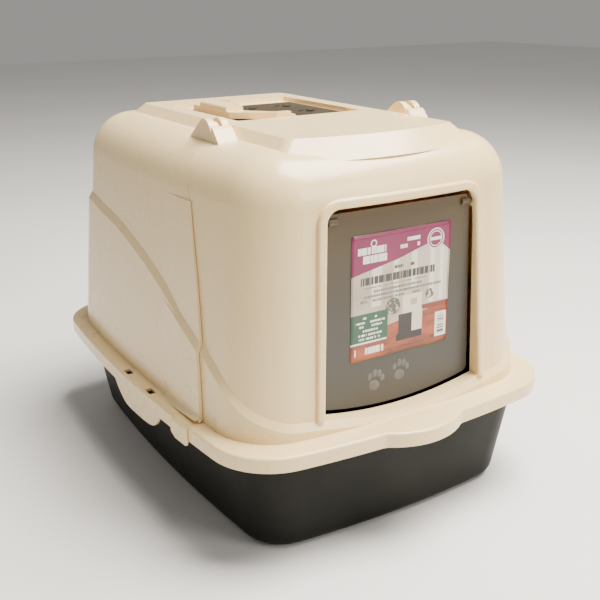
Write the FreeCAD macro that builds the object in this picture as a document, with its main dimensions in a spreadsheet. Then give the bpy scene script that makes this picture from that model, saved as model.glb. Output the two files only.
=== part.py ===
"""Hooded litter pan: a deep pan, a rear hood and a flip-up front hood with a swinging door.

Frame: +Z up, the front (door) faces -Y, X to the right seen from the front.  The origin is on
the surface the pan stands on, in the middle of the hood's flange.  Millimetres.
"""
import FreeCAD, Part
import math
import os
import re
import Sketcher

V = FreeCAD.Vector
doc = FreeCAD.newDocument("HoodedLitterPan")

# ---------------------------------------------------------------- driving dimensions
DIMENSIONS = [
    # walls and clearances
    ("wall", 2.5), ("rest_gap", 0.3), ("seam_gap", 0.6),
    ("side_bow_radius", 2000), ("end_bow_radius", 1000),
    # pan
    ("pan_foot_half_width", 155), ("pan_foot_front", 216), ("pan_foot_back", 214),
    ("pan_top_half_width", 174), ("pan_top_front", 232), ("pan_top_back", 230),
    ("pan_foot_corner", 43), ("pan_top_corner", 49), ("pan_height", 113), ("pan_foot_round", 15),
    ("pan_lip_half_width", 189), ("pan_lip_end", 246), ("pan_lip_corner", 58),
    # hood flange and skirt
    ("flange_half_width", 193), ("flange_end", 250), ("flange_corner", 62),
    ("flange_top", 116), ("flange_thick", 2.7), ("skirt_bottom", 102), ("flange_round", 2.5),
    ("lobe_radius", 72), ("lobe_reach", 264), ("lobe_blend", 12),
    # hood walls
    ("hood_foot_half_width", 173.5), ("hood_foot_front", 223), ("hood_foot_back", 229),
    ("hood_top_half_width", 152), ("hood_top_front", 209), ("hood_top_back", 212),
    ("hood_foot_corner", 57), ("hood_top_corner", 52), ("hood_top", 361), ("hood_round", 46),
    # raised lower panel
    ("panel_proud", 4), ("panel_bevel", 1.6), ("panel_inner_reach", 10), ("panel_outer_reach", 27),
    ("cove_radius", 6.5), ("cove_sunk", 0.5),
    # raised top plateau and its recess
    ("plateau_top", 370), ("plateau_half_width", 91), ("plateau_front", 178),
    ("plateau_back", 155), ("plateau_bow_radius", 300), ("plateau_corner", 14),
    ("recess_half_width", 73), ("recess_front", 40), ("recess_back", 116.5),
    ("recess_floor", 365.5),
    # filter well, cover and filter
    ("cover_half_width", 70), ("cover_front", -14), ("cover_back", 100), ("cover_thick", 3),
    ("vent_pitch_x", 44), ("vent_pitch_y", 50), ("vent_pad_radius", 5), ("vent_dot_radius", 2.4),
    ("well_half_width", 66), ("well_front", -10), ("well_length", 106), ("well_floor", 349.5),
    ("filter_length", 104), ("filter_width", 130), ("filter_thick", 9.5),
    # side latches
    ("latch_hole_width", 7), ("latch_hole_length", 13), ("latch_hole_x", 185.8),
    ("latch_rear_y", 6), ("latch_front_y", -51),
    # hood hinge
    ("hinge_x", 112), ("hinge_y", -66), ("hinge_z", 366), ("knuckle_radius", 13),
    ("knuckle_width", 20), ("slot_width", 7), ("tongue_radius", 9.5), ("hinge_pin_radius", 3),
    ("pin_play", 0.06),
    # the rear hood's lip over the seam
    ("lip_lap", 4), ("lip_fade_angle", 2.3), ("lip_dip_angle", 4.4), ("lip_fade_low", 215),
    ("lip_fade_high", 312),
    # door opening and door
    ("door_top_half_width", 81.5), ("door_foot_half_width", 90), ("door_top", 315.5),
    ("door_foot", 129.5), ("door_dip", 10), ("door_corner", 13), ("frame_width", 8.5),
    ("frame_proud", 3.5), ("frame_round", 2.4), ("reveal_back", 207.5),
    ("flap_top_half_width", 78.5), ("flap_foot_half_width", 87), ("flap_top", 310.5),
    ("flap_foot", 132), ("flap_dip", 10), ("flap_corner", 6), ("flap_thick", 2.2), ("flap_back", 203.3),
    ("door_pivot_z", 304), ("door_pin_radius", 2.5), ("door_pin_reach", 84.2), ("stub_root", 3),
    ("boss_radius", 3.7), ("boss_length", 9), ("boss_inset", 0.5),
    ("label_width", 112), ("label_height", 118), ("label_thick", 0.4), ("label_foot", 170),
    ("label_x", 2),
    # carry handle
    ("bail_z", 364), ("bail_pin_radius", 2), ("bail_eye_radius", 4.5), ("bail_eye_width", 7),
    ("bail_front_y", -24), ("bail_back_y", 108), ("bail_plate_foot", 366.7),
    ("bail_plate_thick", 6.5), ("grip_outer", 61), ("grip_inner", 41), ("grip_thick", 11.8),
    ("grip_front", 8), ("grip_back", 68), ("grip_round", 4), ("bail_root", 5), ("bail_bend", 19),
    ("bail_shoulder", 24), ("bail_pin_extra", 5.4), ("bail_web", 9), ("bail_web_height", 6),
]

sheet = doc.addObject("Spreadsheet::Sheet", "Dimensions")
for row, (alias, value) in enumerate(DIMENSIONS, start=1):
    sheet.set("A%d" % row, alias)
    sheet.set("B%d" % row, str(value))
    sheet.setAlias("B%d" % row, alias)
doc.recompute()


def size(alias):
    """The value of one driving dimension."""
    return float(sheet.get(alias))


# ---------------------------------------------------------------- outlines and blocks
def circles_meet(centre_a, radius_a, centre_b, radius_b, toward):
    """The meeting point of two circles that lies nearer to the point `toward`."""
    gap = centre_b - centre_a
    along = (radius_a ** 2 - radius_b ** 2 + gap.Length ** 2) / (2 * gap.Length)
    across = math.sqrt(radius_a ** 2 - along ** 2)
    unit = V(gap).normalize()
    side = V(-unit.y, unit.x, 0)
    middle = centre_a + unit * along
    return min((middle + side * across, middle - side * across),
               key=lambda point: (point - toward).Length)


def bowed_outline(half_width, front, back, corner, z, grow=0.0):
    """A closed wire at height z: four gently bowed sides joined by round corners."""
    half_width, front, back, corner = (half_width + grow, front + grow, back + grow, corner + grow)
    side_radius = size("side_bow_radius") + grow
    end_radius = size("end_bow_radius") + grow
    middle_y = (back - front) / 2
    corners = []
    for sx, sy in ((1, -1), (1, 1), (-1, 1), (-1, -1)):
        end = front if sy < 0 else back
        side_centre = V(sx * (half_width - side_radius), middle_y, 0)
        end_centre = V(0, sy * (end - end_radius), 0)
        centre = circles_meet(side_centre, side_radius - corner, end_centre, end_radius - corner,
                              V(sx * half_width, sy * end, 0))
        on_side = side_centre + (centre - side_centre).normalize() * side_radius
        on_end = end_centre + (centre - end_centre).normalize() * end_radius
        bulge = centre + (on_side + on_end - centre * 2).normalize() * corner
        first, last = (on_end, on_side) if sx * sy < 0 else (on_side, on_end)
        corners.append((first, bulge, last))
    crowns = (V(half_width, middle_y, 0), V(0, back, 0), V(-half_width, middle_y, 0), V(0, -front, 0))
    lift = V(0, 0, z)
    edges = []
    for index, (first, bulge, last) in enumerate(corners):
        following = corners[(index + 1) % 4][0]
        edges.append(Part.Arc(first + lift, bulge + lift, last + lift).toShape())
        edges.append(Part.Arc(last + lift, crowns[index] + lift, following + lift).toShape())
    return Part.Wire(edges)


def solid_from(shape):
    """The one solid of a boolean's result, with its seams merged."""
    shape = shape.removeSplitter()
    if len(shape.Solids) != 1:
        raise RuntimeError("expected one solid, found %d" % len(shape.Solids))
    return shape.Solids[0]


def hood_sizes(z):
    """Half width, front, back and corner radius of the hood's walls at height z."""
    rise = (z - size("flange_top")) / (size("hood_top") - size("flange_top"))
    return [size("hood_foot_" + key) + rise * (size("hood_top_" + key) - size("hood_foot_" + key))
            for key in ("half_width", "front", "back", "corner")]


def hood_block(grow, bottom):
    """The hood's outer form as a solid block, `grow` mm larger all round, standing on `bottom`."""
    top = size("hood_top")
    low = bowed_outline(*hood_sizes(bottom), bottom, grow)
    high = bowed_outline(*hood_sizes(top), top + grow, grow)
    block = Part.makeLoft([low, high], True, True)
    rim = [edge for edge in block.Edges if edge.BoundBox.ZMin > top + grow - 0.01]
    return block.makeFillet(size("hood_round") + grow, rim)


def prism(points, direction, start, length):
    """A straight prism on a closed polygon, drawn square to X ("x") or to Y ("y") or Z ("z")."""
    places = {"x": lambda a, b: V(start, a, b), "y": lambda a, b: V(a, start, b),
              "z": lambda a, b: V(a, b, start)}[direction]
    reach = {"x": V(length, 0, 0), "y": V(0, length, 0), "z": V(0, 0, length)}[direction]
    corners = [places(a, b) for a, b in points]
    return Part.Face(Part.makePolygon(corners + corners[:1])).extrude(reach)


def box(x0, x1, y0, y1, z0, z1):
    """A box between two corners."""
    return Part.makeBox(x1 - x0, y1 - y0, z1 - z0, V(x0, y0, z0))


def rod_x(radius, x0, x1, y, z):
    """A cylinder along X."""
    return Part.makeCylinder(radius, x1 - x0, V(x0, y, z), V(1, 0, 0))


def rod_y(radius, y0, y1, x, z):
    """A cylinder along Y."""
    return Part.makeCylinder(radius, y1 - y0, V(x, y0, z), V(0, 1, 0))


def mirrored(shape):
    """The same shape on the other side of the object."""
    return shape.mirror(V(0, 0, 0), V(1, 0, 0))


# ---------------------------------------------------------------- the raised lower panel
# The panel's upper edge, as (distance, height): the distance runs along the foot of the walls from
# the middle of the front, round one side, to the middle of the back.
PANEL_EDGE = [(0, 121), (50, 123.5), (90, 128), (116, 131), (133, 134.5), (149, 140.5), (166, 149),
              (183, 161.5), (201, 173.5), (221, 184.5), (241, 194.5), (264, 205.5), (288, 217.5),
              (314, 229), (346, 241), (388, 253), (443, 264), (500, 270), (545, 272.5), (563, 273),
              (581, 273.5), (599, 274), (617, 274.4), (635, 274.7), (690, 275), (750, 275)]
PANEL_FLOOR = 15


def wall_point(distance, z):
    """A point of the right half's wall at height z, and the level direction out of it."""
    foot = bowed_outline(*hood_sizes(size("flange_top")), 0).Edges
    here = bowed_outline(*hood_sizes(z), z).Edges
    for index, low, high in ((7, 0.5, 1.0), (0, 0.0, 1.0), (1, 0.0, 1.0), (2, 0.0, 1.0), (3, 0.0, 0.5)):
        length = foot[index].Length * (high - low)
        if distance <= length or index == 3:
            share = low + (high - low) * min(distance / length, 1.0)
            place = here[index].getParameterByLength(share * here[index].Length)
            along = here[index].tangentAt(place)
            return here[index].valueAt(place), V(along.y, -along.x, 0)
        distance -= length


def panel_half(grow):
    """The space under the right half of the panel's bevelled upper edge, moved out by `grow`."""
    bevel = size("panel_bevel")
    inner, outer = size("panel_inner_reach"), size("panel_outer_reach")
    rise = grow * math.sqrt(1 + bevel ** 2)
    rails = [[], [], [], []]
    for distance, height in PANEL_EDGE:
        point, outward = wall_point(distance, height)
        near, far = point - outward * inner, point + outward * outer
        for rail, corner in zip(rails, (V(near.x, near.y, height + rise + bevel * inner),
                                        V(far.x, far.y, height + rise - bevel * outer),
                                        V(far.x, far.y, PANEL_FLOOR), V(near.x, near.y, PANEL_FLOOR))):
            rail.append(corner)
    curves = []
    for rail in rails:
        curve = Part.BSplineCurve()
        curve.interpolate(Points=rail, Parameters=[float(distance) for distance, height in PANEL_EDGE],
                          InitialTangent=V(1, 0, 0), FinalTangent=V(-1, 0, 0))
        curves.append(curve.toShape())
    faces = [Part.makeRuledSurface(curves[index], curves[(index + 1) % 4]) for index in range(4)]
    for end in (0, -1):
        corners = [rail[end] for rail in rails]
        faces.append(Part.Face(Part.makePolygon(corners + corners[:1])))
    shell = Part.makeShell(faces)
    shell.sewShape()
    solid = Part.Solid(shell)
    if solid.Volume < 0:
        solid.reverse()
    return solid


def foot_cove(grow):
    """The hollow round that eases the raised panel into the flange."""
    radius, sunk = size("cove_radius"), size("cove_sunk")
    wires = []
    for turn in (15, 35, 55, 72, 90):
        sine, cosine = math.sin(math.radians(turn)), math.cos(math.radians(turn))
        z = size("flange_top") - sunk + radius * (1 - cosine)
        reach = size("panel_proud") - sunk + radius * (1 - sine)
        wires.append(bowed_outline(*hood_sizes(z), z + grow, reach + grow))
    return Part.makeLoft(wires, True, False)


def panelled_block(grow, bottom, extras=()):
    """The hood's outer form with its raised lower panel, fused with any extra solids."""
    proud = hood_block(grow + size("panel_proud"), bottom)
    half = proud.common(panel_half(grow))
    return hood_block(grow, bottom).fuse([half, mirrored(half)] + list(extras))


def outer_form(grow, bottom):
    """The panelled block with the cove at its foot."""
    return panelled_block(grow, bottom, [foot_cove(grow)])


# ---------------------------------------------------------------- plateau, flange and door forms
def plateau_block(shrink):
    """The raised panel on top of the hood, with 45 degree sides and a bowed front."""
    wires = []
    for spread, z in ((24, size("plateau_top") - 24), (0, size("plateau_top"))):
        half = size("plateau_half_width") + spread - shrink
        front = size("plateau_front") + spread - shrink
        back = size("plateau_back") + spread - shrink
        radius = size("plateau_bow_radius") + spread - shrink
        corner_y = -front + radius - math.sqrt(radius ** 2 - half ** 2)
        edges = [
            Part.Arc(V(-half, corner_y, z - shrink), V(0, -front, z - shrink),
                     V(half, corner_y, z - shrink)).toShape(),
            Part.LineSegment(V(half, corner_y, z - shrink), V(half, back, z - shrink)).toShape(),
            Part.LineSegment(V(half, back, z - shrink), V(-half, back, z - shrink)).toShape(),
            Part.LineSegment(V(-half, back, z - shrink), V(-half, corner_y, z - shrink)).toShape(),
        ]
        wires.append(Part.Wire(edges))
    block = Part.makeLoft(wires, True, True)
    ribs = [edge for edge in block.Edges if edge.BoundBox.ZLength > 10]
    return block.makeFillet(size("plateau_corner"), ribs)


def flange_block(grow, bottom, top, edge_round):
    """The flange's outline as a slab, with the finger lobe at its front."""
    outline = bowed_outline(size("flange_half_width"), size("flange_end"), size("flange_end"),
                            size("flange_corner"), bottom, grow)
    slab = Part.Face(outline).extrude(V(0, 0, top - bottom))
    radius = size("lobe_radius") + grow
    centre = V(0, size("lobe_radius") - size("lobe_reach"), bottom)
    slab = solid_from(slab.fuse(Part.makeCylinder(radius, top - bottom, centre)))
    blends = [edge for edge in slab.Edges
              if edge.BoundBox.ZLength > 1 and abs(edge.BoundBox.XMin) < 60
              and edge.BoundBox.YMax < 0 and edge.BoundBox.XLength < 0.01]
    slab = slab.makeFillet(size("lobe_blend") - grow, blends)
    if edge_round > 0:
        rim = [edge for edge in slab.Edges if edge.BoundBox.ZMin > top - 0.01]
        slab = slab.makeFillet(edge_round, rim)
    return slab


def door_outline(grow, y):
    """The door opening's outline in a plane square to Y: tapered, round on top, dipped below."""
    top_half = size("door_top_half_width") + grow
    foot_half = size("door_foot_half_width") + grow
    top = size("door_top") + grow
    foot = size("door_foot") - grow
    radius = size("door_corner") + grow
    lean = math.atan2(foot_half - top_half, top - foot)
    reach = radius * math.tan((math.pi / 2 - lean) / 2)
    along_side = V(math.sin(lean), 0, -math.cos(lean))
    corner = V(top_half, y, top)
    top_end = corner - V(reach, 0, 0)
    side_end = corner + along_side * reach
    centre = top_end - V(0, 0, radius)
    mid = centre + (corner - centre).normalize() * radius
    edges = [
        Part.Arc(V(-foot_half, y, foot), V(0, y, foot - size("door_dip")),
                 V(foot_half, y, foot)).toShape(),
        Part.LineSegment(V(foot_half, y, foot), side_end).toShape(),
        Part.Arc(side_end, mid, top_end).toShape(),
        Part.LineSegment(top_end, V(-top_end.x, y, top)).toShape(),
        Part.Arc(V(-top_end.x, y, top), V(-mid.x, y, mid.z), V(-side_end.x, y, side_end.z)).toShape(),
        Part.LineSegment(V(-side_end.x, y, side_end.z), V(-foot_half, y, foot)).toShape(),
    ]
    return Part.Wire(edges)


def door_prism(grow, y0, y1):
    """The door opening as a solid between two depths."""
    return Part.Face(door_outline(grow, y0)).extrude(V(0, y1 - y0, 0))


# ---------------------------------------------------------------- litter pan
def pan_shape():
    """The deep pan: drafted walls, a round-edged floor and an outward lip for the hood."""
    wall = size("wall")
    height = size("pan_height")

    def body(grow, floor):
        low = bowed_outline(size("pan_foot_half_width"), size("pan_foot_front"),
                            size("pan_foot_back"), size("pan_foot_corner"), floor, grow)
        high = bowed_outline(size("pan_top_half_width"), size("pan_top_front"),
                             size("pan_top_back"), size("pan_top_corner"), height, grow)
        block = Part.makeLoft([low, high], True, True)
        rim = [edge for edge in block.Edges if edge.BoundBox.ZMax < floor + 0.01]
        return block.makeFillet(size("pan_foot_round") + grow, rim)

    lip = bowed_outline(size("pan_lip_half_width"), size("pan_lip_end"), size("pan_lip_end"),
                        size("pan_lip_corner"), height - wall)
    lip_plate = Part.Face(lip).extrude(V(0, 0, wall))
    return solid_from(body(0, 0).fuse(lip_plate).cut(body(-wall, wall)))


# ---------------------------------------------------------------- hood shell, before it is split
# The seam between the two hoods, as (y, z): up each side wall and over the shoulder to the hinge.
SEAM = [(-140, 60), (-138, 116), (-128, 175), (-113, 245), (-101, 290), (-91, 330), (-82, 352),
        (-74, 364), (-70, 375), (-70, 400)]


def behind_seam(shift):
    """All the space behind the seam, moved back by `shift`."""
    curve = Part.BSplineCurve()
    curve.interpolate([V(-260, y + shift, z) for y, z in SEAM])
    bottom, top = V(-260, SEAM[0][0] + shift, SEAM[0][1]), V(-260, SEAM[-1][0] + shift, SEAM[-1][1])
    back_low, back_high = V(-260, 320, SEAM[0][1]), V(-260, 320, SEAM[-1][1])
    sides = [Part.LineSegment(top, back_high), Part.LineSegment(back_high, back_low),
             Part.LineSegment(back_low, bottom)]
    outline = Part.Wire([curve.toShape()] + [side.toShape() for side in sides])
    return Part.Face(outline).extrude(V(520, 0, 0))


def door_frame():
    """The raised frame round the door opening's top and sides, with both of its rims rounded."""
    proud = size("frame_proud")
    frame = door_prism(size("frame_width"), -240, -200).cut(door_prism(0, -250, -190))
    frame = frame.common(hood_block(proud, size("flange_top") - 1))
    frame = frame.common(box(-120, 120, -240, -200, size("door_foot"), 400))
    rims = []
    for edge in frame.Edges:
        middle = edge.valueAt((edge.FirstParameter + edge.LastParameter) / 2)
        front = hood_sizes(middle.z)[1] + proud - middle.x ** 2 / (2 * size("end_bow_radius"))
        if middle.y < 0.4 - front and middle.z > size("door_foot") + 1:
            rims.append(edge)
    return frame.makeFillet(size("frame_round"), rims)


def hood_shell():
    """Both hoods as one shell: walls, raised panel, plateau, flange, skirt and door frame."""
    wall = size("wall")
    flange_top = size("flange_top")
    under_flange = flange_top - size("flange_thick")
    reveal = size("reveal_back")
    outside = outer_form(0, flange_top - 1).fuse(door_frame())
    outside = outside.fuse(plateau_block(0).common(box(-200, 200, -205, 200, 352, 400)))
    skirt = flange_block(0, size("skirt_bottom"), flange_top, size("flange_round"))
    under = flange_block(-wall, size("skirt_bottom") - 1, under_flange, 0)
    recess_mass = box(-76, 76, -43, size("recess_back") + 3, 340, 380)
    inside = panelled_block(-wall, size("skirt_bottom") - 10)
    inside = inside.cut(door_prism(wall, -260, -reveal))
    inside_top = plateau_block(wall).common(box(-200, 200, -205, 200, 350, 400)).cut(recess_mass)
    shell = outside.fuse(skirt).cut(under).cut(inside).cut(inside_top)
    return shell.cut(door_prism(0, -300, 20 - reveal))


def seam_lip():
    """The rear hood's lip on the left: it laps over the front hood, and dies out behind and above."""
    proud, gap = size("wall") + size("seam_gap"), size("seam_gap")
    half_width, flange_top = size("hood_foot_half_width"), size("flange_top")
    lean = (half_width - size("hood_top_half_width")) / (size("hood_top") - flange_top)
    low = size("skirt_bottom")
    swollen = outer_form(proud, low)
    panel_crossing = V(-half_width, -123, 198)
    swollen.rotate(panel_crossing, V(0, 0, 1), -size("lip_fade_angle"))
    swollen.rotate(panel_crossing, V(1, 0, 0), -size("lip_dip_angle"))
    fade_low, fade_high = size("lip_fade_low"), size("lip_fade_high")
    fade = prism([(0, 50), (-230, 50), (-230, fade_low - 20),
                  (-half_width + lean * (fade_low - flange_top) - proud - 0.5, fade_low),
                  (-half_width + lean * (fade_high - flange_top) + 0.4, fade_high), (0, fade_high)],
                 "y", -200, 190)
    swollen = swollen.common(fade).common(box(-230, -120, -200, -10, flange_top - 1, 400))
    over_seam = swollen.common(behind_seam(-size("lip_lap"))).cut(outer_form(gap, low - 2))
    over_seam = over_seam.common(box(-230, -120, -200, -10, flange_top + gap, 400))
    behind = swollen.common(behind_seam(gap / 2)).cut(panelled_block(-size("wall") / 2, low - 2))
    return over_seam.fuse(behind)


def skirt_lip():
    """The same lip where it crosses the flange's skirt on the left."""
    proud = size("wall") + size("seam_gap")
    lip = flange_block(proud, size("skirt_bottom") - 4, size("flange_top"), size("flange_round"))
    lip = lip.cut(flange_block(size("seam_gap"), size("skirt_bottom") - 5,
                               size("flange_top") + 1, 0))
    root = flange_block(0.7, size("skirt_bottom") - 4, size("flange_top"), size("flange_round"))
    root = root.cut(flange_block(-size("wall"), size("skirt_bottom") - 5,
                                 size("flange_top") - size("flange_thick"), 0))
    front, seam, back = SEAM[1][0] - 4.0, SEAM[1][0] + 0.3, SEAM[1][0] + 16
    bottom, skirt, top = size("skirt_bottom") - 4, size("skirt_bottom"), size("flange_top") + 1
    span = [(front, bottom), (back, bottom), (back + 8, skirt), (back + 8, top), (front, top)]
    root_span = [(seam, bottom)] + span[1:4] + [(seam, top)]
    return lip.common(prism(span, "x", -260, 130)).fuse(root.common(prism(root_span, "x", -260, 130)))


def latch_tab():
    """The left finger tab: the skirt carried down in one smooth lobe, with its two catches."""
    bottom, top = size("skirt_bottom") - 20, size("skirt_bottom") + 1
    skin = flange_block(0, bottom, top, 0).cut(flange_block(-size("wall"), bottom, top, 0))
    curve = Part.BSplineCurve()
    rear, front = (38, 108), (-84, 108)
    curve.interpolate([V(-260, y, z) for y, z in
                       (rear, (29, 101), (19, 93), (5, 85.5), (-22, 83.2), (-50, 84), (-66, 86.5),
                        (-75, 91.5), (-80, 98), front)])
    lid = Part.LineSegment(V(-260, *front), V(-260, *rear)).toShape()
    lobe = Part.Face(Part.Wire([curve.toShape(), lid])).extrude(V(130, 0, 0))
    return skin.common(lobe)


def latch_catch(y):
    """One catch inside the left skirt, under its moulding hole."""
    half = size("latch_hole_length") / 2 - 1
    tip = -size("pan_lip_half_width") - size("rest_gap") - 0.1
    foot = -size("flange_half_width") + size("wall") / 2
    ledge = size("pan_height") - size("wall") - size("rest_gap")
    return prism([(foot, ledge), (tip, ledge), (tip, ledge - 2), (foot, ledge - 9)], "y", y - half,
                 2 * half).common(flange_block(-1, 80, 120, 0))


def knuckle_zone(play):
    """The room that one rear knuckle takes at the hinge, `play` mm larger all round."""
    x0 = size("hinge_x") - size("knuckle_width") / 2 - play
    x1 = size("hinge_x") + size("knuckle_width") / 2 + play
    radius = size("knuckle_radius") + play
    y, z = size("hinge_y"), size("hinge_z")
    return rod_x(radius, x0, x1, y, z).fuse(box(x0, x1, y - radius, y + radius, z - 40, z))


def hinge_knuckle():
    """The rear hood's right knuckle: a round-backed bump with a slot for the tongue."""
    x0 = size("hinge_x") - size("knuckle_width") / 2
    x1 = x0 + size("knuckle_width")
    y, z, radius = size("hinge_y"), size("hinge_z"), size("knuckle_radius")
    tail = prism([(y, 352), (y + 34, 352), (y + 30, 360), (y + radius * 0.5, z + radius * 0.866),
                  (y, z + radius)], "x", x0, x1 - x0)
    body = rod_x(radius, x0, x1, y, z).fuse([tail, box(x0, x1, y - radius, y, 356, z)])
    half_slot = size("slot_width") / 2
    slot = rod_x(radius + 2, size("hinge_x") - half_slot, size("hinge_x") + half_slot, y, z)
    bore = rod_x(size("hinge_pin_radius") + size("pin_play"), x0 + 1.5, x1 - 1.5, y, z)
    slot = slot.cut(box(0, 200, y + radius - 2, y + 40, 340, 400))
    slot = slot.fuse(box(size("hinge_x") - half_slot, size("hinge_x") + half_slot, y - radius - 1, y,
                         348, z))
    return body, slot, bore


def hinge_tongue():
    """The front hood's right hinge arm: a tongue for the slot, with the pin moulded across it."""
    y, z, radius = size("hinge_y"), size("hinge_z"), size("tongue_radius")
    half = size("slot_width") / 2 - 0.5
    x = size("hinge_x")
    reach = size("knuckle_width") / 2 - 2.0
    arm = prism([(y, z + radius * 0.9), (y, z - 3), (y - 10, z - 13), (y - 22, z - 16),
                 (y - 22, z - 4), (y - 12, z + 5)], "x", x - half, 2 * half)
    disc = rod_x(radius, x - half, x + half, y, z).cut(box(0, 200, y + 0.5, y + 40, 300, z + 1))
    return disc.fuse([arm, rod_x(size("hinge_pin_radius"), x - reach, x + reach, y, z)])


def rear_hood_shape(shell):
    """The rear hood: everything behind the seam, with recess, filter well, knuckles and tabs."""
    half_gap = size("seam_gap") / 2
    hood = shell.common(behind_seam(half_gap))
    lip = seam_lip()
    extras = []
    for left in (lip, skirt_lip(), latch_tab(), latch_catch(size("latch_rear_y")),
                 latch_catch(size("latch_front_y"))):
        extras += [left, mirrored(left)]
    knuckle, slot, bore = hinge_knuckle()
    extras += [knuckle, mirrored(knuckle)]
    wall = size("wall")
    well_x, well_y0 = size("well_half_width"), size("well_front")
    well_y1 = well_y0 + size("well_length")
    floor = size("well_floor")
    extras.append(box(-well_x - wall, well_x + wall, well_y0 - wall, well_y1 + wall,
                      floor - wall, size("recess_floor")))
    play = size("rest_gap")
    bail_y = (size("bail_front_y"), size("bail_back_y"))
    eye = size("bail_eye_width") / 2 + play
    for y in bail_y:
        extras.append(box(-14, 11, y - 8, y + 8, 354, size("recess_floor")))
    hood = hood.fuse(extras)
    cuts = [box(-size("recess_half_width"), size("recess_half_width"), -size("recess_front"),
                size("recess_back"), size("recess_floor"), 400)]
    cover_x, cover_y0 = size("cover_half_width") + play, size("cover_front") - play
    cover_y1 = size("cover_back") + play
    cuts.append(box(-cover_x, cover_x, cover_y0, cover_y1,
                    size("recess_floor") - size("cover_thick"), 400))
    cuts.append(box(-well_x, well_x, well_y0, well_y1, floor, 400))
    cuts += [slot, mirrored(slot), bore, mirrored(bore)]
    hood = hood.cut(cuts)
    ears = []
    for y in bail_y:
        ears += [rod_y(size("bail_eye_radius"), y - eye - 3.5, y - eye, 0, size("bail_z")),
                 rod_y(size("bail_eye_radius"), y + eye, y + eye + 3.5, 0, size("bail_z"))]
    hood = hood.fuse(ears)
    cuts = []
    for y in bail_y:
        cuts.append(box(-10, 7.5, y - eye, y + eye, size("bail_z") - size("bail_eye_radius") - play,
                        400))
        cuts.append(rod_y(size("bail_pin_radius") + size("pin_play"), y - eye - 3, y + eye + 3, 0,
                          size("bail_z")))
    cuts += well_grate_slots()
    for y in (size("latch_rear_y"), size("latch_front_y")):
        half_x, half_y = size("latch_hole_width") / 2, size("latch_hole_length") / 2
        hole = box(-size("latch_hole_x") - half_x, -size("latch_hole_x") + half_x, y - half_y,
                   y + half_y, size("pan_height"), 120)
        cuts += [hole, mirrored(hole)]
    return solid_from(hood.cut(cuts))


def well_grate_slots():
    """The air slots through the floor of the filter well."""
    slots = []
    columns, rows, pitch_x, pitch_y, width = 5, 6, 24, 15, 6
    middle = size("well_front") + size("well_length") / 2
    for column in range(columns):
        for row in range(rows):
            x = (column - (columns - 1) / 2) * pitch_x
            y = middle + (row - (rows - 1) / 2) * pitch_y
            slots.append(box(x - 8.5, x + 8.5, y - width / 2, y + width / 2,
                             size("well_floor") - 6, size("well_floor") + 1))
    return slots


def front_hood_shape(shell):
    """The flip-up front hood: everything ahead of the seam, with the door frame and hinge arms."""
    front = shell.cut(behind_seam(-size("seam_gap") / 2))
    reveal = size("reveal_back")
    ear_y = size("flap_back") + size("flap_thick") / 2
    ear_x0 = size("door_top_half_width") + 0.9
    ear_z = size("door_pivot_z")
    ear = rod_x(6, ear_x0 - 0.4, ear_x0 + 3.6, -ear_y, ear_z)
    ear = ear.fuse(box(ear_x0 - 0.4, ear_x0 + 3.6, -reveal - 2, -ear_y, ear_z - 6, ear_z + 6))
    front = front.fuse(ear).fuse(mirrored(ear))
    pivot = rod_x(size("door_pin_radius") + size("pin_play"), -size("door_pin_reach") - 0.5,
                  size("door_pin_reach") + 0.5, -ear_y, size("door_pivot_z"))
    zone = knuckle_zone(0.6)
    front = front.cut([pivot, zone, mirrored(zone)])
    tongue = hinge_tongue()
    fairing = prism([(-97, 356), (-92, 362), (-84, 371), (-81, 373), (-80.3, 373), (-80.3, 350)],
                    "x", size("hinge_x") - size("knuckle_width") / 2, size("knuckle_width"))
    fairing = fairing.cut(knuckle_zone(0.6))
    return solid_from(front.fuse([tongue, mirrored(tongue), fairing, mirrored(fairing)]))


# ---------------------------------------------------------------- small pieces
def formula(text):
    """An expression on the sheet, from one written with bare aliases."""
    return re.sub(r"[a-z][a-z_]+", lambda word: "Dimensions." + word.group(), text)


def bind(item, **links):
    """Tie an object's properties to expressions on the sheet; X, Y and Z are its place."""
    places = {"X": "Placement.Base.x", "Y": "Placement.Base.y", "Z": "Placement.Base.z"}
    for name, text in links.items():
        item.setExpression(places.get(name, name), formula(text))


def primitive(kind, name, **links):
    """A Part primitive whose sizes and place come from the sheet."""
    item = doc.addObject("Part::" + kind, name)
    bind(item, **links)
    return item


def sketch_in(body, role, name):
    """A sketch on one of a body's own origin planes."""
    plane = next(item for item in body.Origin.OriginFeatures if item.Role == role)
    sketch = body.newObject("Sketcher::SketchObject", name)
    sketch.AttachmentSupport = [(plane, "")]
    sketch.MapMode = "FlatFace"
    return sketch


def constrain(sketch, kind, text, *where):
    """A constraint on a sketch whose value follows an expression on the sheet."""
    value = float(sketch.evalExpression(formula(text)))
    number = sketch.addConstraint(Sketcher.Constraint(kind, *where, value))
    sketch.setExpression("Constraints[%d]" % number, formula(text))


def outline_sketch(body, role, name, corners):
    """A closed outline of straight edges; each corner is a pair of expressions."""
    sketch = sketch_in(body, role, name)
    points = [V(*(float(sheet.evalExpression(formula(text))) for text in corner), 0)
              for corner in corners]
    count = len(points)
    for index, point in enumerate(points):
        sketch.addGeometry(Part.LineSegment(point, points[(index + 1) % count]), False)
    for index, corner in enumerate(corners):
        sketch.addConstraint(Sketcher.Constraint("Coincident", index, 2, (index + 1) % count, 1))
        for kind, text in zip(("DistanceX", "DistanceY"), corner):
            constrain(sketch, kind, text, -1, 1, index, 1)
    return sketch


def pad(body, sketch, name, length):
    """A pad of one sketch."""
    feature = body.newObject("PartDesign::Pad", name)
    feature.Profile = sketch
    bind(feature, Length=length)
    return feature


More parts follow.
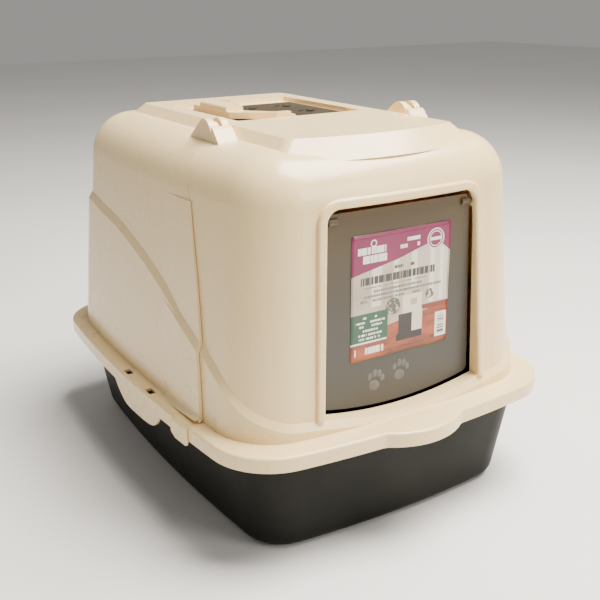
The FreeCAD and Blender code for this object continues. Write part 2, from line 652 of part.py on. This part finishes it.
def fillet(body, base, name, radius, wanted):
    """A fillet on the edges of `base` that `wanted` picks."""
    doc.recompute()
    feature = body.newObject("PartDesign::Fillet", name)
    feature.Base = (base, ["Edge%d" % (index + 1) for index, edge in enumerate(base.Shape.Edges)
                           if wanted(edge.BoundBox)])
    bind(feature, Radius=radius)
    return feature


def fused(label, shapes):
    """The union of several objects as one piece."""
    item = doc.addObject("Part::MultiFuse", label)
    item.Label = label
    item.Shapes = shapes
    return item


def add_solid(label, shape):
    """A free-form shell as an object of the document."""
    item = doc.addObject("Part::Feature", label)
    item.Label = label
    item.Shape = shape
    item.Placement = FreeCAD.Placement()
    return item


def door_flap():
    """The swinging door: a tapered plate with a curved foot and two pivot stubs."""
    body = doc.addObject("PartDesign::Body", "flap_plate")
    sketch = sketch_in(body, "XZ_Plane", "flap_outline")
    top, foot = size("flap_top_half_width"), size("flap_foot_half_width")
    high, low, dip = size("flap_top"), size("flap_foot"), size("flap_dip")
    corners = [V(foot, low, 0), V(top, high, 0), V(-top, high, 0), V(-foot, low, 0)]
    sketch.addGeometry(Part.Arc(corners[3], V(0, low - dip, 0), corners[0]), False)
    for start, end in zip(corners, corners[1:]):
        sketch.addGeometry(Part.LineSegment(start, end), False)
    for edge in range(4):
        sketch.addConstraint(Sketcher.Constraint("Coincident", edge, 2, (edge + 1) % 4, 1))
    places = (("flap_foot_half_width", "flap_foot"), ("flap_top_half_width", "flap_top"),
              ("-flap_top_half_width", "flap_top"), ("-flap_foot_half_width", "flap_foot"))
    for edge, (across, up) in enumerate(places):
        constrain(sketch, "DistanceX", across, -1, 1, edge, 2)
        constrain(sketch, "DistanceY", up, -1, 1, edge, 2)
    constrain(sketch, "Radius", "(flap_foot_half_width ^ 2 + flap_dip ^ 2) / (2 * flap_dip)", 0)
    plate = pad(body, sketch, "flap_pad", "flap_thick")
    fillet(body, plate, "flap_corners", "flap_corner",
           lambda edge_box: edge_box.XLength < 0.01 and edge_box.ZLength < 0.01)
    bind(body, Y="-flap_back")
    parts = [body]
    middle = "-flap_back - flap_thick / 2"
    stub_starts = {"left": "-door_pin_reach", "right": "flap_top_half_width - stub_root"}
    boss_starts = {"left": "-flap_top_half_width + boss_inset",
                   "right": "flap_top_half_width - boss_inset - boss_length"}
    for side in ("left", "right"):
        parts.append(primitive("Cylinder", "pivot_stub_" + side, Radius="door_pin_radius",
                               Height="door_pin_reach - flap_top_half_width + stub_root",
                               X=stub_starts[side], Y=middle, Z="door_pivot_z"))
        parts.append(primitive("Cylinder", "pivot_boss_" + side, Radius="boss_radius",
                               Height="boss_length", X=boss_starts[side], Y=middle,
                               Z="door_pivot_z"))
    for part in parts[1:]:
        part.Placement.Rotation = FreeCAD.Rotation(V(0, 1, 0), 90)
    return fused("door_flap", parts)


def door_label():
    """The paper label stuck on the middle of the door's face."""
    return primitive("Box", "door_label", Length="label_width", Width="label_thick",
                     Height="label_height", X="label_x - label_width / 2",
                     Y="-flap_back - flap_thick - label_thick", Z="label_foot")


def circle_in(sketch, x, y, radius):
    """A full circle in a sketch, with its place and size constrained."""
    number = sketch.addGeometry(Part.Circle(V(x, y, 0), V(0, 0, 1), size(radius)), False)
    sketch.addConstraint(Sketcher.Constraint("DistanceX", -1, 1, number, 3, x))
    sketch.addConstraint(Sketcher.Constraint("DistanceY", -1, 1, number, 3, y))
    constrain(sketch, "Radius", radius, number)


def filter_cover():
    """The vent cover over the filter: a thin plate with six groups of round air holes."""
    body = doc.addObject("PartDesign::Body", "filter_cover")
    outline = outline_sketch(body, "XY_Plane", "cover_outline", [
        ("-cover_half_width", "cover_front"), ("cover_half_width", "cover_front"),
        ("cover_half_width", "cover_back"), ("-cover_half_width", "cover_back")])
    plate = pad(body, outline, "cover_plate", "cover_thick")
    holes = sketch_in(body, "XY_Plane", "air_holes")
    middle = (size("cover_front") + size("cover_back")) / 2 - 3
    ring, spacing = 11, 36
    for column in (-1, 0, 1):
        for row in (-0.5, 0.5):
            x = column * size("vent_pitch_x")
            y = middle + row * size("vent_pitch_y")
            circle_in(holes, x, y, "vent_pad_radius")
            for step in (-1.5, -0.5, 0.5, 1.5):
                turn = math.radians(90 + step * spacing)
                circle_in(holes, x + ring * math.cos(turn), y + ring * math.sin(turn),
                          "vent_dot_radius")
    doc.recompute()
    cut = body.newObject("PartDesign::Pocket", "air_hole_cut")
    cut.Profile = holes
    cut.Type = "ThroughAll"
    cut.Reversed = True
    bind(body, Z="recess_floor - cover_thick")
    doc.recompute()
    if not cut.Shape.Volume < plate.Shape.Volume - 1000:
        raise RuntimeError("the air holes cut nothing")
    return body


def carbon_filter():
    """The square odour filter that lies on the well's floor under the cover."""
    return primitive("Box", "carbon_filter", Length="filter_width", Width="filter_length",
                     Height="filter_thick", X="-filter_width / 2", Y="well_front + 1",
                     Z="well_floor + 0.1")


def carry_handle():
    """The folding bail: a grip bar, two slanted flat arms and an eye with pins at each end."""
    front_out, front_in = "bail_front_y - bail_eye_width / 2", "bail_front_y + bail_eye_width / 2"
    back_out, back_in = "bail_back_y + bail_eye_width / 2", "bail_back_y - bail_eye_width / 2"
    frame = doc.addObject("PartDesign::Body", "bail_frame")
    loop = outline_sketch(frame, "XY_Plane", "bail_outline", [
        ("-bail_root", front_out), ("-bail_bend - 3", front_out),
        ("-grip_outer", "bail_front_y + bail_shoulder"), ("-grip_outer", "bail_back_y - bail_shoulder"),
        ("-bail_bend - 3", back_out), ("-bail_root", back_out),
        ("-bail_root", back_in), ("-bail_bend", back_in),
        ("-grip_inner", "bail_back_y - bail_shoulder - 4"),
        ("-grip_inner", "bail_front_y + bail_shoulder + 4"), ("-bail_bend", front_in),
        ("-bail_root", front_in)])
    pad(frame, loop, "bail_pad", "bail_plate_thick")
    grip = doc.addObject("PartDesign::Body", "bail_grip")
    outline = outline_sketch(grip, "XY_Plane", "grip_outline", [
        ("-grip_outer", "grip_front"), ("-grip_inner", "grip_front"),
        ("-grip_inner", "grip_back"), ("-grip_outer", "grip_back")])
    bar = pad(grip, outline, "grip_pad", "grip_thick")
    fillet(grip, bar, "grip_round", "grip_round",
           lambda edge_box: edge_box.YLength > 50 and edge_box.ZMin > 1)
    for body in (frame, grip):
        bind(body, Z="bail_plate_foot")
    parts = [frame, grip]
    for name in ("front", "back"):
        centre = "bail_%s_y" % name
        for kind, reach in (("eye", "bail_eye_width"), ("pin", "(bail_eye_width + bail_pin_extra)")):
            item = primitive("Cylinder", "bail_%s_%s" % (kind, name), Radius="bail_%s_radius" % kind,
                             Height=reach, Y="%s - %s / 2" % (centre, reach), Z="bail_z")
            item.Placement.Rotation = FreeCAD.Rotation(V(1, 0, 0), -90)
            parts.append(item)
        parts.append(primitive("Box", "bail_web_" + name, Length="bail_web", Width="bail_eye_width",
                               Height="bail_web_height", X="-bail_web",
                               Y=centre + " - bail_eye_width / 2", Z="bail_z"))
    return fused("carry_handle", parts)


# ---------------------------------------------------------------- build, check and write
shell = hood_shell()
nodes = [
    add_solid("litter_pan", pan_shape()),
    add_solid("rear_hood", rear_hood_shape(shell)),
    add_solid("front_hood", front_hood_shape(shell)),
    door_flap(), door_label(), filter_cover(), carbon_filter(), carry_handle(),
]
doc.recompute()
for item in doc.Objects:
    if "Invalid" in item.State or "Error" in item.State:
        raise RuntimeError("%s failed: %s" % (item.Name, item.State))
os.makedirs("parts", exist_ok=True)
for node in nodes:
    if node.Shape.isNull() or not node.Shape.isValid() or len(node.Shape.Solids) != 1:
        raise RuntimeError("%s is not one valid solid" % node.Label)
    node.Shape.exportStep(os.path.join("parts", node.Label + ".step"))
    print(node.Label, round(node.Shape.Volume / 1000, 1), "cm3")
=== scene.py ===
"""Looks for the hooded litter pan: plastics, printed label, studio floor, lights and camera."""
import math

import bmesh
import bpy
from mathutils import Matrix, Vector


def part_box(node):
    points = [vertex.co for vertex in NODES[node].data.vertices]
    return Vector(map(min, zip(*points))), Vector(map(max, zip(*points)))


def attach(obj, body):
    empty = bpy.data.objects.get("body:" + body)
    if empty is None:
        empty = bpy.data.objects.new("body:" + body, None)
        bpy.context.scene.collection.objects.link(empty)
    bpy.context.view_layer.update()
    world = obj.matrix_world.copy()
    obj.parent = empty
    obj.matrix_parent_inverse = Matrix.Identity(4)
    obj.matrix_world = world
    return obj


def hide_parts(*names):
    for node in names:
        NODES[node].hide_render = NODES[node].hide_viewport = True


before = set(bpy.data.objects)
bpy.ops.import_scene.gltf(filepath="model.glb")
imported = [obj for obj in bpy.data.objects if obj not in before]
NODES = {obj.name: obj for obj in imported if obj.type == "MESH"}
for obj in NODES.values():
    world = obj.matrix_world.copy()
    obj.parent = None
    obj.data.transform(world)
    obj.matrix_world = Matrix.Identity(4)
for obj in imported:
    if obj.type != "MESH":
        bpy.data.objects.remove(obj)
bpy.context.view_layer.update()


# ---------------------------------------------------------------- small helpers
def linear(red, green, blue):
    """An sRGB colour, 0 to 255, as linear RGBA."""
    def channel(value):
        value /= 255
        return value / 12.92 if value <= 0.04045 else ((value + 0.055) / 1.055) ** 2.4

    return (channel(red), channel(green), channel(blue), 1.0)


def new_material(name, roughness, **constants):
    """A node material; `constants` are set on the shader's own sockets."""
    material = bpy.data.materials.new(name)
    material.use_nodes = True
    shader = material.node_tree.nodes["Principled BSDF"]
    shader.inputs["Roughness"].default_value = roughness
    for socket, value in constants.items():
        shader.inputs[socket.replace("_", " ")].default_value = value
    return material, material.node_tree, shader


def node(tree, kind, inputs=None, **settings):
    """One shader node; an input is a number, a colour or another node's output."""
    item = tree.nodes.new("ShaderNode" + kind)
    for key, value in settings.items():
        setattr(item, key, value)
    for key, value in (inputs or {}).items():
        if isinstance(value, bpy.types.NodeSocket):
            tree.links.new(value, item.inputs[key])
        else:
            item.inputs[key].default_value = value
    return item


def place(tree):
    """A point's place on the object, in metres."""
    return node(tree, "TexCoord").outputs["Object"]


def noise(tree, scale, detail=3.0, roughness=0.5, stretch=None):
    """Noise over the object's own space, as a 0 to 1 value."""
    where = place(tree)
    if stretch:
        where = node(tree, "VectorMath", {0: where, 1: stretch}, operation="MULTIPLY").outputs[0]
    return node(tree, "TexNoise", {"Vector": where, "Scale": scale, "Detail": detail,
                                   "Roughness": roughness}).outputs["Fac"]


def ramp(tree, value, stops):
    """A colour ramp through (position, colour) stops."""
    item = node(tree, "ValToRGB", {"Fac": value})
    elements = item.color_ramp.elements
    elements[0].position, elements[0].color = stops[0]
    elements[1].position, elements[1].color = stops[-1]
    for position, colour in stops[1:-1]:
        elements.new(position).color = colour
    return item.outputs["Color"]


def spread(tree, value, low, high):
    """A 0 to 1 value mapped onto low to high."""
    return node(tree, "MapRange", {"Value": value, "To Min": low, "To Max": high}).outputs["Result"]


def mix(tree, factor, first, second):
    """Two colours mixed; a factor of 1 gives the second."""
    inputs = {"Fac": factor, "Color1": first, "Color2": second}
    return node(tree, "MixRGB", inputs).outputs["Color"]


def bump(tree, shader, layers):
    """Stacks bumps, each (height value, strength, depth in metres), onto the shader."""
    normal = None
    for height, strength, depth in layers:
        inputs = {"Height": height, "Strength": strength, "Distance": depth}
        if normal is not None:
            inputs["Normal"] = normal
        normal = node(tree, "Bump", inputs).outputs["Normal"]
    tree.links.new(normal, shader.inputs["Normal"])


# ---------------------------------------------------------------- materials
def hood_plastic():
    """Glossy ivory polypropylene: faint flow marks, orange peel and a few fine scuffs."""
    material, tree, shader = new_material(
        "hood_plastic", 0.28, Coat_Weight=0.25, Coat_Roughness=0.12, Subsurface_Weight=0.12,
        Subsurface_Scale=0.004)
    shader.inputs["Subsurface Radius"].default_value = (1.0, 0.75, 0.45)
    clouds = noise(tree, 5.0, 4.0, 0.55)
    colour = ramp(tree, clouds, [(0.3, linear(240, 212, 158)), (0.7, linear(243, 216, 164))])
    flow = noise(tree, 9.0, 5.0, 0.6, (1.0, 1.0, 0.25))
    colour = mix(tree, spread(tree, flow, 0.0, 0.10), colour, linear(234, 205, 150))
    tree.links.new(colour, shader.inputs["Base Color"])
    gloss = spread(tree, noise(tree, 30.0, 6.0, 0.65), 0.21, 0.36)
    tree.links.new(gloss, shader.inputs["Roughness"])
    bump(tree, shader, [(noise(tree, 260.0, 2.0), 0.16, 0.0003),
                        (noise(tree, 14.0, 2.0), 0.10, 0.0020)])
    return material


def pan_plastic():
    """Near-black satin polypropylene with a fine moulded grain and dusty patches."""
    material, tree, shader = new_material("pan_plastic", 0.5, Specular_IOR_Level=0.16)
    colour = ramp(tree, noise(tree, 7.0, 5.0, 0.6),
                  [(0.3, linear(15, 15, 11)), (0.75, linear(22, 22, 16))])
    dust = ramp(tree, noise(tree, 60.0, 6.0, 0.7), [(0.62, (0, 0, 0, 1)), (0.8, (1, 1, 1, 1))])
    dust = node(tree, "Math", {0: dust, 1: 0.12}, operation="MULTIPLY").outputs[0]
    tree.links.new(mix(tree, dust, colour, linear(60, 57, 48)), shader.inputs["Base Color"])
    gloss = spread(tree, noise(tree, 24.0, 5.0, 0.6), 0.42, 0.62)
    tree.links.new(gloss, shader.inputs["Roughness"])
    bump(tree, shader, [(noise(tree, 900.0, 2.0), 0.22, 0.0002),
                        (noise(tree, 18.0, 2.0), 0.12, 0.0015)])
    return material


def smoked_plastic():
    """Smoked see-through door sheet: warmer towards its top, where the hood is behind it; that
    show-through is painted light in the colour.
    """
    material, tree, shader = new_material(
        "smoked_plastic", 0.3, Transmission_Weight=0.15, IOR=1.49, Specular_IOR_Level=0.3)
    height = node(tree, "SeparateXYZ", {0: place(tree)}).outputs["Z"]
    low, high = (corner.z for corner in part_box("door_flap"))
    limits = {"Value": height, "From Min": low, "From Max": high}
    rise = node(tree, "MapRange", limits).outputs["Result"]
    # painted light: the warm top of this ramp is the hood behind the sheet, painted in as seen
    # through it
    colour = ramp(tree, rise, [(0.0, linear(78, 78, 76)), (0.55, linear(80, 76, 69)),
                               (0.86, linear(88, 76, 56)), (1.0, linear(92, 76, 50))])
    haze = noise(tree, 16.0, 5.0, 0.65)
    colour = mix(tree, spread(tree, haze, 0.0, 0.22), colour, linear(90, 88, 82))
    tree.links.new(colour, shader.inputs["Base Color"])
    gloss = spread(tree, noise(tree, 45.0, 6.0, 0.6), 0.22, 0.42)
    tree.links.new(gloss, shader.inputs["Roughness"])
    bump(tree, shader, [(noise(tree, 11.0, 2.0), 0.12, 0.002)])
    return material


def vent_plastic():
    """Smoked grey vent cover."""
    material, tree, shader = new_material("vent_plastic", 0.6, Specular_IOR_Level=0.15)
    colour = ramp(tree, noise(tree, 20.0, 5.0, 0.6),
                  [(0.3, linear(50, 44, 34)), (0.7, linear(64, 57, 45))])
    tree.links.new(colour, shader.inputs["Base Color"])
    tree.links.new(spread(tree, noise(tree, 60.0, 4.0), 0.5, 0.7), shader.inputs["Roughness"])
    bump(tree, shader, [(noise(tree, 500.0, 2.0), 0.2, 0.0002)])
    return material


def filter_felt():
    """Black carbon-filled felt: matted fibres."""
    material, tree, shader = new_material(
        "filter_felt", 0.95, Sheen_Weight=0.3, Sheen_Roughness=0.6)
    fibres = noise(tree, 700.0, 6.0, 0.75, (1.0, 0.35, 1.0))
    tree.links.new(ramp(tree, fibres, [(0.3, linear(18, 18, 18)), (0.75, linear(62, 60, 56))]),
                   shader.inputs["Base Color"])
    bump(tree, shader, [(fibres, 0.8, 0.0008)])
    return material


def label_print(low, high):
    """Printed coated paper: abstract colour fields, a room scene, grey word-like marks and bars."""
    material, tree, shader = new_material("label_print", 0.4, Coat_Weight=0.35, Coat_Roughness=0.18)
    where = node(tree, "SeparateXYZ", {0: place(tree)}).outputs
    across = node(tree, "MapRange", {"Value": where["X"], "From Min": low.x, "From Max": high.x})
    up = node(tree, "MapRange", {"Value": where["Z"], "From Min": low.z, "From Max": high.z})
    across, up = across.outputs["Result"], up.outputs["Result"]

    def maths(operation, *values):
        return node(tree, "Math", dict(enumerate(values)), operation=operation).outputs[0]

    def field(left, right, bottom, top):
        """1 inside a rectangle of the label, which runs from 0 to 1 both ways."""
        return maths("MULTIPLY", maths("COMPARE", across, (left + right) / 2, (right - left) / 2),
                     maths("COMPARE", up, (bottom + top) / 2, (top - bottom) / 2))

    def disc(centre_across, centre_up, radius):
        """1 inside a circle; the radius is a share of the label's width."""
        tall = (high.z - low.z) / (high.x - low.x)
        sides = (maths("SUBTRACT", across, centre_across),
                 maths("MULTIPLY", maths("SUBTRACT", up, centre_up), tall))
        squares = [maths("POWER", side, 2.0) for side in sides]
        return maths("LESS_THAN", maths("SQRT", maths("ADD", *squares)), radius)

    def stripes(along, seed, scale, detail):
        """Noise that changes along one direction only."""
        where = node(tree, "CombineXYZ", {0: along, 1: seed}).outputs[0]
        inputs = {"Vector": where, "Scale": scale, "Detail": detail}
        return node(tree, "TexNoise", inputs).outputs["Fac"]

    def marks(width, gap, seed):
        """Upright strokes in clumps, like words too small to read."""
        strokes = maths("GREATER_THAN", stripes(across, seed, width, 2.0), 0.44)
        clumps = maths("GREATER_THAN", stripes(across, seed + 9, gap, 0.0), 0.34)
        return maths("MULTIPLY", strokes, clumps)

    white, ink = linear(238, 234, 226), linear(60, 56, 50)
    grey = linear(120, 112, 106)
    # the room's wall with its window frames and curtain: left, right, bottom, top, tone
    colour = ramp(tree, noise(tree, 26.0, 3.0),
                  [(0.3, linear(172, 154, 138)), (0.7, linear(204, 194, 176))])
    for left, right, bottom, top, tone in (
            (0.20, 0.30, 0.42, 0.78, linear(226, 220, 206)),
            (0.42, 0.47, 0.42, 0.84, linear(228, 222, 208)),
            (0.60, 0.66, 0.50, 0.86, linear(230, 224, 212)),
            (0.78, 0.98, 0.36, 0.84, linear(214, 204, 186)),
            (0.80, 0.84, 0.36, 0.80, linear(236, 230, 216)),
            (0.90, 0.94, 0.36, 0.80, linear(234, 228, 214))):
        colour = mix(tree, field(left, right, bottom, top), colour, tone)
    boards = ramp(tree, noise(tree, 55.0, 4.0, 0.6, (0.5, 1.0, 2.2)),
                  [(0.35, linear(104, 38, 16)), (0.65, linear(176, 84, 38))])
    floor_line = maths("LESS_THAN", up, maths("ADD", 0.19, maths("MULTIPLY", across, 0.15)))
    colour = mix(tree, floor_line, colour, boards)
    colour = mix(tree, field(0.72, 1.0, 0.31, 0.35), colour, linear(128, 48, 22))
    leaves = maths("GREATER_THAN", noise(tree, 300.0, 4.0, 0.7), 0.46)
    for centre, height, radius in ((0.42, 0.39, 0.075), (0.80, 0.43, 0.045)):
        plant = maths("MULTIPLY", disc(centre, height, radius), leaves)
        colour = mix(tree, plant, colour, linear(88, 86, 66))
    # furniture, rug, and the plain panels in the lower corners
    for left, right, bottom, top, tone in (
            (0.52, 0.72, 0.24, 0.46, linear(226, 218, 198)),
            (0.60, 0.67, 0.37, 0.42, linear(176, 168, 148)),
            (0.48, 0.62, 0.13, 0.31, linear(34, 22, 20)),
            (0.62, 0.73, 0.13, 0.32, linear(222, 212, 192)),
            (0.46, 0.73, 0.09, 0.15, linear(28, 18, 16)),
            (0.0, 0.37, 0.15, 0.38, linear(36, 84, 58)),
            (0.0, 0.36, 0.135, 0.15, white),
            (0.87, 0.99, 0.05, 0.26, white)):
        colour = mix(tree, field(left, right, bottom, top), colour, tone)
    # the band along the top; its lower edge swings up and down across the label
    rise = ramp(tree, across, [(0.0, (0.686, 0.686, 0.686, 1)), (0.45, (0.765, 0.765, 0.765, 1)),
                               (0.86, (0.87, 0.87, 0.87, 1)), (1.0, (0.76, 0.76, 0.76, 1))])
    band = maths("GREATER_THAN", up, rise)
    magenta = ramp(tree, noise(tree, 30.0),
                   [(0.3, linear(118, 14, 68)), (0.7, linear(136, 22, 78))])
    colour = mix(tree, band, colour, magenta)
    # rows of word-like marks: the field, then how fine and how clumped the strokes are
    for left, right, bottom, top, width, gap, tone in (
            (0.06, 0.34, 0.845, 0.90, 60.0, 5.0, white),
            (0.11, 0.35, 0.775, 0.835, 52.0, 5.0, white),
            (0.50, 0.68, 0.895, 0.925, 90.0, 7.0, white),
            (0.48, 0.68, 0.845, 0.875, 90.0, 7.0, white),
            (0.40, 0.63, 0.695, 0.72, 110.0, 8.0, ink),
            (0.09, 0.93, 0.605, 0.665, 70.0, 6.0, ink),
            (0.12, 0.88, 0.575, 0.585, 30.0, 3.0, linear(140, 130, 124)),
            (0.22, 0.90, 0.535, 0.555, 120.0, 9.0, grey),
            (0.12, 0.92, 0.500, 0.520, 120.0, 9.0, grey),
            (0.09, 0.70, 0.465, 0.485, 120.0, 9.0, grey),
            (0.12, 0.26, 0.335, 0.352, 90.0, 8.0, white),
            (0.05, 0.34, 0.300, 0.317, 110.0, 9.0, white),
            (0.08, 0.31, 0.268, 0.285, 110.0, 9.0, white),
            (0.12, 0.27, 0.232, 0.249, 90.0, 8.0, white),
            (0.07, 0.31, 0.198, 0.215, 110.0, 9.0, white),
            (0.08, 0.30, 0.166, 0.183, 110.0, 9.0, white),
            (0.04, 0.33, 0.045, 0.100, 55.0, 5.0, white)):
        mask = maths("MULTIPLY", field(left, right, bottom, top), marks(width, gap, bottom * 40))
        colour = mix(tree, mask, colour, tone)
    bars = maths("GREATER_THAN", stripes(up, 0.0, 95.0, 1.0), 0.5)
    bars = maths("MULTIPLY", field(0.895, 0.965, 0.075, 0.235), bars)
    colour = mix(tree, bars, colour, ink)
    rings = ((0.088, white), (0.078, linear(124, 16, 70)), (0.066, white), (0.058, magenta))
    for radius, tone in rings:
        colour = mix(tree, disc(0.845, 0.875, radius), colour, tone)
    colour = mix(tree, field(0.79, 0.90, 0.862, 0.888), colour, white)
    colour = mix(tree, disc(0.215, 0.925, 0.030), colour, white)
    colour = mix(tree, disc(0.215, 0.925, 0.020), colour, magenta)
    tree.links.new(colour, shader.inputs["Base Color"])
    tree.links.new(spread(tree, noise(tree, 90.0, 3.0), 0.3, 0.5), shader.inputs["Roughness"])
    bump(tree, shader, [(noise(tree, 28.0, 2.0), 0.15, 0.001)])
    return material


# ---------------------------------------------------------------- carried-over CAD nodes
hood = hood_plastic()
FINISHES = {
    "litter_pan": pan_plastic(), "rear_hood": hood, "front_hood": hood, "carry_handle": hood,
    "door_flap": smoked_plastic(), "filter_cover": vent_plastic(),
    "carbon_filter": filter_felt()}
for name, material in FINISHES.items():
    NODES[name].data.materials.clear()
    NODES[name].data.materials.append(material)


# ---------------------------------------------------------------- pieces made here
def link(name, mesh, material, body):
    """A finished piece in the scene, shaded smooth, riding on a body."""
    for face in mesh.polygons:
        face.use_smooth = True
    mesh.materials.append(material)
    item = bpy.data.objects.new(name, mesh)
    bpy.context.scene.collection.objects.link(item)
    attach(item, body)
    return item


def printed_label():
    """The paper label: a thin sheet with round corners, slightly lifted along its edges."""
    low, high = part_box("door_label")
    thick, corner, lift, steps = 0.00022, 0.0012, 0.00035, 28
    half_x, half_z = (high.x - low.x) / 2, (high.z - low.z) / 2
    middle = (low + high) / 2
    mesh = bpy.data.meshes.new("printed_label")
    shape = bmesh.new()
    bmesh.ops.create_grid(shape, x_segments=steps, y_segments=steps, size=1.0)
    for point in shape.verts:
        x, z = point.co.x * half_x, point.co.y * half_z
        over_x, over_z = abs(x) - (half_x - corner), abs(z) - (half_z - corner)
        if over_x > 0 and over_z > 0:
            reach = corner / max(math.hypot(over_x, over_z), corner)
            x = math.copysign(half_x - corner + over_x * reach, x)
            z = math.copysign(half_z - corner + over_z * reach, z)
        edge = max(abs(point.co.x), abs(point.co.y)) ** 10
        wave = 0.5 + 0.5 * math.sin(x * 95 + z * 60)
        point.co = Vector((middle.x + x, high.y - thick - lift * edge * wave, middle.z + z))
    shape.to_mesh(mesh)
    shape.free()
    item = link("printed_label", mesh, label_print(low, high), "door")
    sheet = item.modifiers.new("paper", "SOLIDIFY")
    sheet.thickness, sheet.offset = thick, 0
    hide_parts("door_label")


def paw_marks(material):
    """Two small paw marks moulded proud of the door below the label: a pad and four toes each."""
    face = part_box("door_label")[1].y
    shape = bmesh.new()
    proud, pad_tall, toe_tall = 0.0006, 0.82, 1.35
    # each lobe: place across and up from the mark's middle, radius, height over width
    lobes = [(0, -0.002, 0.0062, pad_tall)]
    for side in (-1, 1):
        lobes.append((side * 0.0075, 0.006, 0.0026, toe_tall))
        lobes.append((side * 0.0027, 0.0098, 0.0029, toe_tall))
    for x, z, lean in ((-0.026, 0.144, 14), (0.003, 0.148, 10)):
        turn = Matrix.Rotation(math.radians(lean), 4, "Y")
        for across, up, radius, tall in lobes:
            spot = Vector((x, face, z)) + turn @ Vector((across, 0, up))
            size = Matrix.Diagonal((radius, proud, radius * tall, 1.0))
            bmesh.ops.create_uvsphere(shape, u_segments=28, v_segments=16, radius=1.0,
                                      matrix=Matrix.Translation(spot) @ turn @ size)
    mesh = bpy.data.meshes.new("paw_marks")
    shape.to_mesh(mesh)
    shape.free()
    link("paw_marks", mesh, material, "door")


def frosted_plastic():
    """The paler, rougher skin of the marks on the door."""
    material, tree, shader = new_material("frosted_plastic", 0.55)
    colour = ramp(tree, noise(tree, 120.0, 4.0),
                  [(0.3, linear(94, 94, 92)), (0.7, linear(106, 106, 103))])
    tree.links.new(colour, shader.inputs["Base Color"])
    bump(tree, shader, [(noise(tree, 1400.0, 2.0), 0.3, 0.0001)])
    return material


printed_label()
paw_marks(frosted_plastic())


# ---------------------------------------------------------------- stage, light and camera
def studio():
    """A pale floor that the object stands on and soft light from large panels."""
    mesh = bpy.data.meshes.new("floor")
    half = 6.0
    corners = [(-half, -half, 0), (half, -half, 0), (half, half, 0), (-half, half, 0)]
    mesh.from_pydata(corners, [], [(0, 1, 2, 3)])
    floor = bpy.data.objects.new("floor", mesh)
    bpy.context.scene.collection.objects.link(floor)
    material, tree, shader = new_material("floor_paint", 0.6)
    colour = ramp(tree, noise(tree, 1.5),
                  [(0.3, (0.80, 0.79, 0.78, 1)), (0.7, (0.84, 0.83, 0.82, 1))])
    tree.links.new(colour, shader.inputs["Base Color"])
    mesh.materials.append(material)

    world = bpy.data.worlds.new("studio")
    world.use_nodes = True
    background = world.node_tree.nodes["Background"]
    background.inputs["Color"].default_value = (1.0, 0.97, 0.92, 1)
    background.inputs["Strength"].default_value = 0.34
    bpy.context.scene.world = world

    aim = Vector((0, 0, 0.2))

    def panel(name, place_at, side, power, colour):
        """A square area light that looks at the object."""
        light = bpy.data.lights.new(name, "AREA")
        light.shape = "RECTANGLE"
        light.size, light.size_y = side, side
        light.energy = power
        light.color = colour
        item = bpy.data.objects.new(name, light)
        item.location = place_at
        item.rotation_euler = (aim - item.location).to_track_quat("-Z", "Y").to_euler()
        bpy.context.scene.collection.objects.link(item)

    panel("overhead", Vector((0.55, -0.4, 1.9)), 1.2, 150, (1.0, 0.95, 0.86))
    panel("front", Vector((1.1, -2.2, 1.2)), 1.0, 24, (1.0, 0.94, 0.85))


def photo_camera():
    """The camera at the photograph's viewing angle."""
    spot = (-0.482, -0.813, 0.4884)  # metres
    heading, pitch, roll = (math.radians(angle) for angle in (31.77, 19.278, -0.484))
    ahead = math.cos(pitch)
    forward = Vector((math.sin(heading) * ahead, math.cos(heading) * ahead, -math.sin(pitch)))
    level = Vector((math.cos(heading), -math.sin(heading), 0))
    up = level.cross(forward)
    right = level * math.cos(roll) + up * math.sin(roll)
    top = up * math.cos(roll) - level * math.sin(roll)
    data = bpy.data.cameras.new("photo_camera")
    data.sensor_width, data.lens = 36.0, 53.498  # millimetres
    data.shift_x, data.shift_y = -0.0011, 0.0045
    camera = bpy.data.objects.new("photo_camera", data)
    turn = Matrix((right, top, -forward)).transposed()
    camera.matrix_world = Matrix.Translation(spot) @ turn.to_4x4()
    bpy.context.scene.collection.objects.link(camera)
    bpy.context.scene.camera = camera


studio()
photo_camera()
